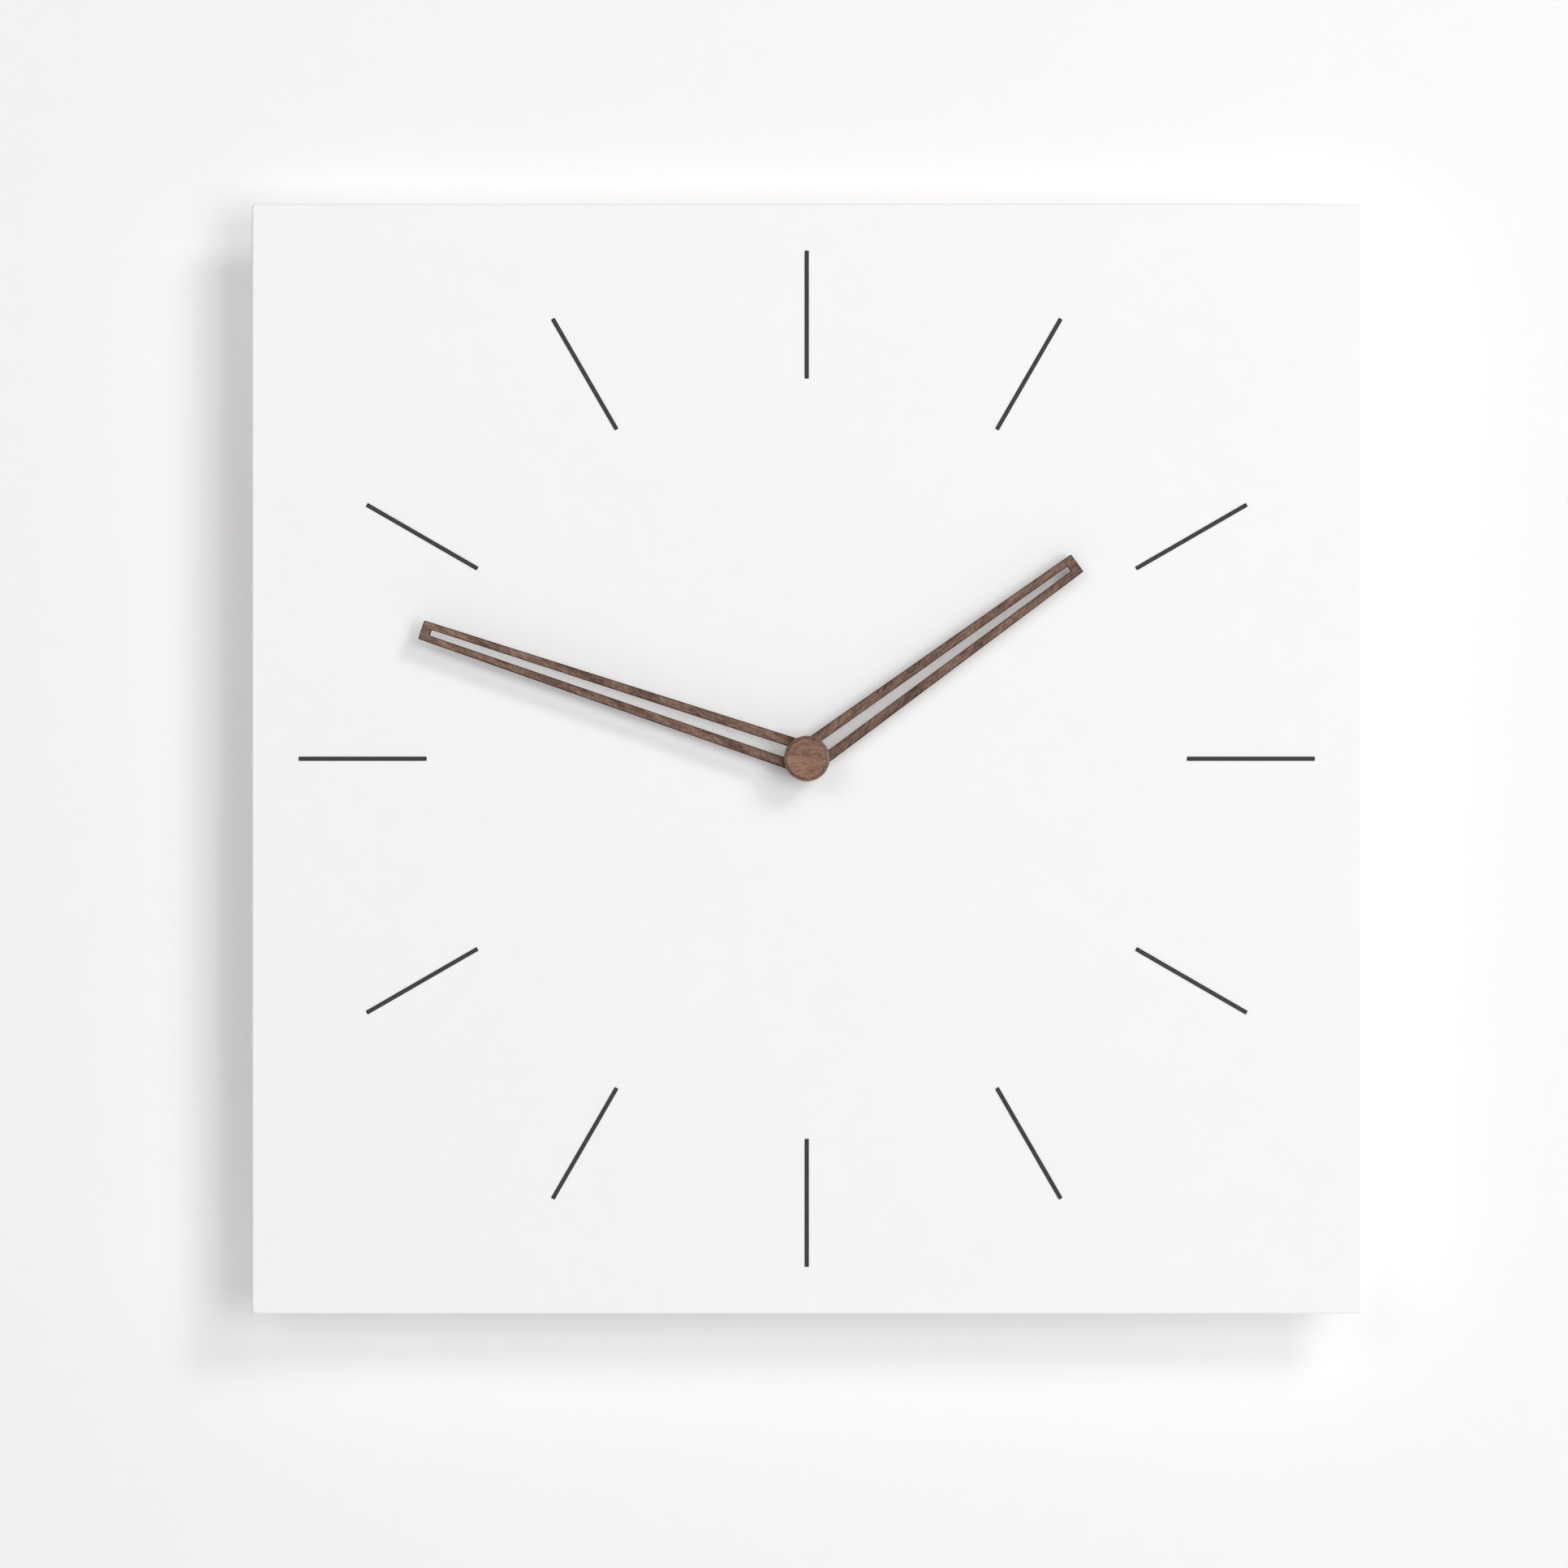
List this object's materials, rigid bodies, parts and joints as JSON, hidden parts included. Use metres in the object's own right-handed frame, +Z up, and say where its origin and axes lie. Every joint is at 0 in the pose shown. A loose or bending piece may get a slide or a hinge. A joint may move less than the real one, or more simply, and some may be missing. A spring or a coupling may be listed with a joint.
{
  "type": "wall clock",
  "caption": "Square white wall clock with thin dark hour bars, skeleton walnut hands and a wooden cap, on a recessed pine frame with a battery quartz movement and keyhole hanger.",
  "frame": {"origin": "where the axis of the hands meets the wall", "axes": "+Z up, +X to the right as the dial is read, +Y into the wall; the dial faces -Y"},
  "size_m": [0.4, 0.0446, 0.4],
  "materials": {
    "white_lacquer": "matt white lacquer on fibreboard",
    "dark_marks": "dark bronze, satin",
    "walnut": "oiled walnut, fine straight grain",
    "pine": "bare planed pine",
    "zinc_steel": "zinc-plated",
    "brass": "turned brass",
    "black_rubber": "matt",
    "black_case": "fine spark-eroded texture",
    "nylon": "moulded, natural",
    "magnet": "sintered ferrite",
    "stator_steel": "punched soft iron",
    "bobbin": "moulded",
    "copper_wire": "enamelled copper wire, wound",
    "circuit_green": "solder mask",
    "chip_black": "moulded epoxy",
    "cell_sleeve": "printed film sleeve, plain bands"
  },
  "bodies": {
    "clock_body": {"dial_panel": "white_lacquer", "hour_mark_01": "dark_marks", "hour_mark_02": "dark_marks", "hour_mark_03": "dark_marks", "hour_mark_04": "dark_marks", "hour_mark_05": "dark_marks", "hour_mark_06": "dark_marks", "hour_mark_07": "dark_marks", "hour_mark_08": "dark_marks", "hour_mark_09": "dark_marks", "hour_mark_10": "dark_marks", "hour_mark_11": "dark_marks", "hour_mark_12": "dark_marks", "frame_top_rail": "pine", "frame_bottom_rail": "pine", "frame_left_rail": "pine", "frame_right_rail": "pine", "frame_screws": "zinc_steel", "hanger_plate": "zinc_steel", "hanger_screws": "zinc_steel", "wall_bumpers": "black_rubber", "movement_case": "black_case", "movement_cover": "black_case", "threaded_bush": "brass", "rubber_washer": "black_rubber", "brass_washer": "brass", "hex_nut": "brass", "stator_plate": "stator_steel", "coil_core": "stator_steel", "coil_bobbin": "bobbin", "coil_winding": "copper_wire", "circuit_board": "circuit_green", "driver_chip": "chip_black", "quartz_crystal": "zinc_steel", "positive_contact": "zinc_steel", "negative_plate": "zinc_steel", "negative_spring": "zinc_steel"},
    "minute_body": {"minute_arbor": "zinc_steel", "centre_wheel": "brass", "minute_hand": "walnut", "minute_hand_bush": "brass", "hand_nut": "brass", "centre_cap": "walnut"},
    "hour_body": {"hour_wheel": "nylon", "hour_hand": "walnut", "hour_hand_bush": "brass"},
    "reduction_body": {"reduction_wheel": "nylon"},
    "setting_body": {"setting_arbor": "zinc_steel", "setting_knob": "black_case"},
    "third_body": {"third_wheel": "nylon"},
    "second_body": {"second_wheel": "nylon"},
    "intermediate_body": {"intermediate_wheel": "nylon"},
    "rotor_body": {"rotor_pinion": "nylon", "rotor_magnet": "magnet"},
    "battery_body": {"battery": "cell_sleeve"}
  },
  "joints": [
    {"name": "minute_turn", "type": "hinge", "parent": "clock_body", "child": "minute_body", "pos_m": [0, 0, 0], "axis": [0, 1, 0], "continuous": true},
    {"name": "hour_turn", "type": "hinge", "parent": "clock_body", "child": "hour_body", "pos_m": [0, 0, 0], "axis": [0, 1, 0], "continuous": true},
    {"name": "reduction_turn", "type": "hinge", "parent": "clock_body", "child": "reduction_body", "pos_m": [-0.0096, 0, 0], "axis": [0, 1, 0], "continuous": true},
    {"name": "knob_turn", "type": "hinge", "parent": "clock_body", "child": "setting_body", "pos_m": [-0.01905, 0, 0.00167], "axis": [0, 1, 0], "continuous": true},
    {"name": "third_turn", "type": "hinge", "parent": "clock_body", "child": "third_body", "pos_m": [0.00882, 0, 0.0074], "axis": [0, 1, 0], "continuous": true},
    {"name": "second_turn", "type": "hinge", "parent": "clock_body", "child": "second_body", "pos_m": [0, 0, 0], "axis": [0, 1, 0], "continuous": true},
    {"name": "intermediate_turn", "type": "hinge", "parent": "clock_body", "child": "intermediate_body", "pos_m": [-0.00787, 0, 0.00938], "axis": [0, 1, 0], "continuous": true},
    {"name": "rotor_turn", "type": "hinge", "parent": "clock_body", "child": "rotor_body", "pos_m": [-0.01611, 0, 0.01414], "axis": [0, 1, 0], "continuous": true},
    {"name": "battery_slide", "type": "slide", "parent": "clock_body", "child": "battery_body", "axis": [0, 1, 0], "range_m": [0, 0.02]}
  ],
  "couplings": [
    {"joint": "hour_turn", "follows": "minute_turn", "ratio": 0.083333},
    {"joint": "reduction_turn", "follows": "minute_turn", "ratio": -0.33333},
    {"joint": "knob_turn", "follows": "minute_turn", "ratio": 1},
    {"joint": "third_turn", "follows": "minute_turn", "ratio": -8},
    {"joint": "second_turn", "follows": "minute_turn", "ratio": 60},
    {"joint": "intermediate_turn", "follows": "minute_turn", "ratio": -300},
    {"joint": "rotor_turn", "follows": "minute_turn", "ratio": 1800}
  ]
}
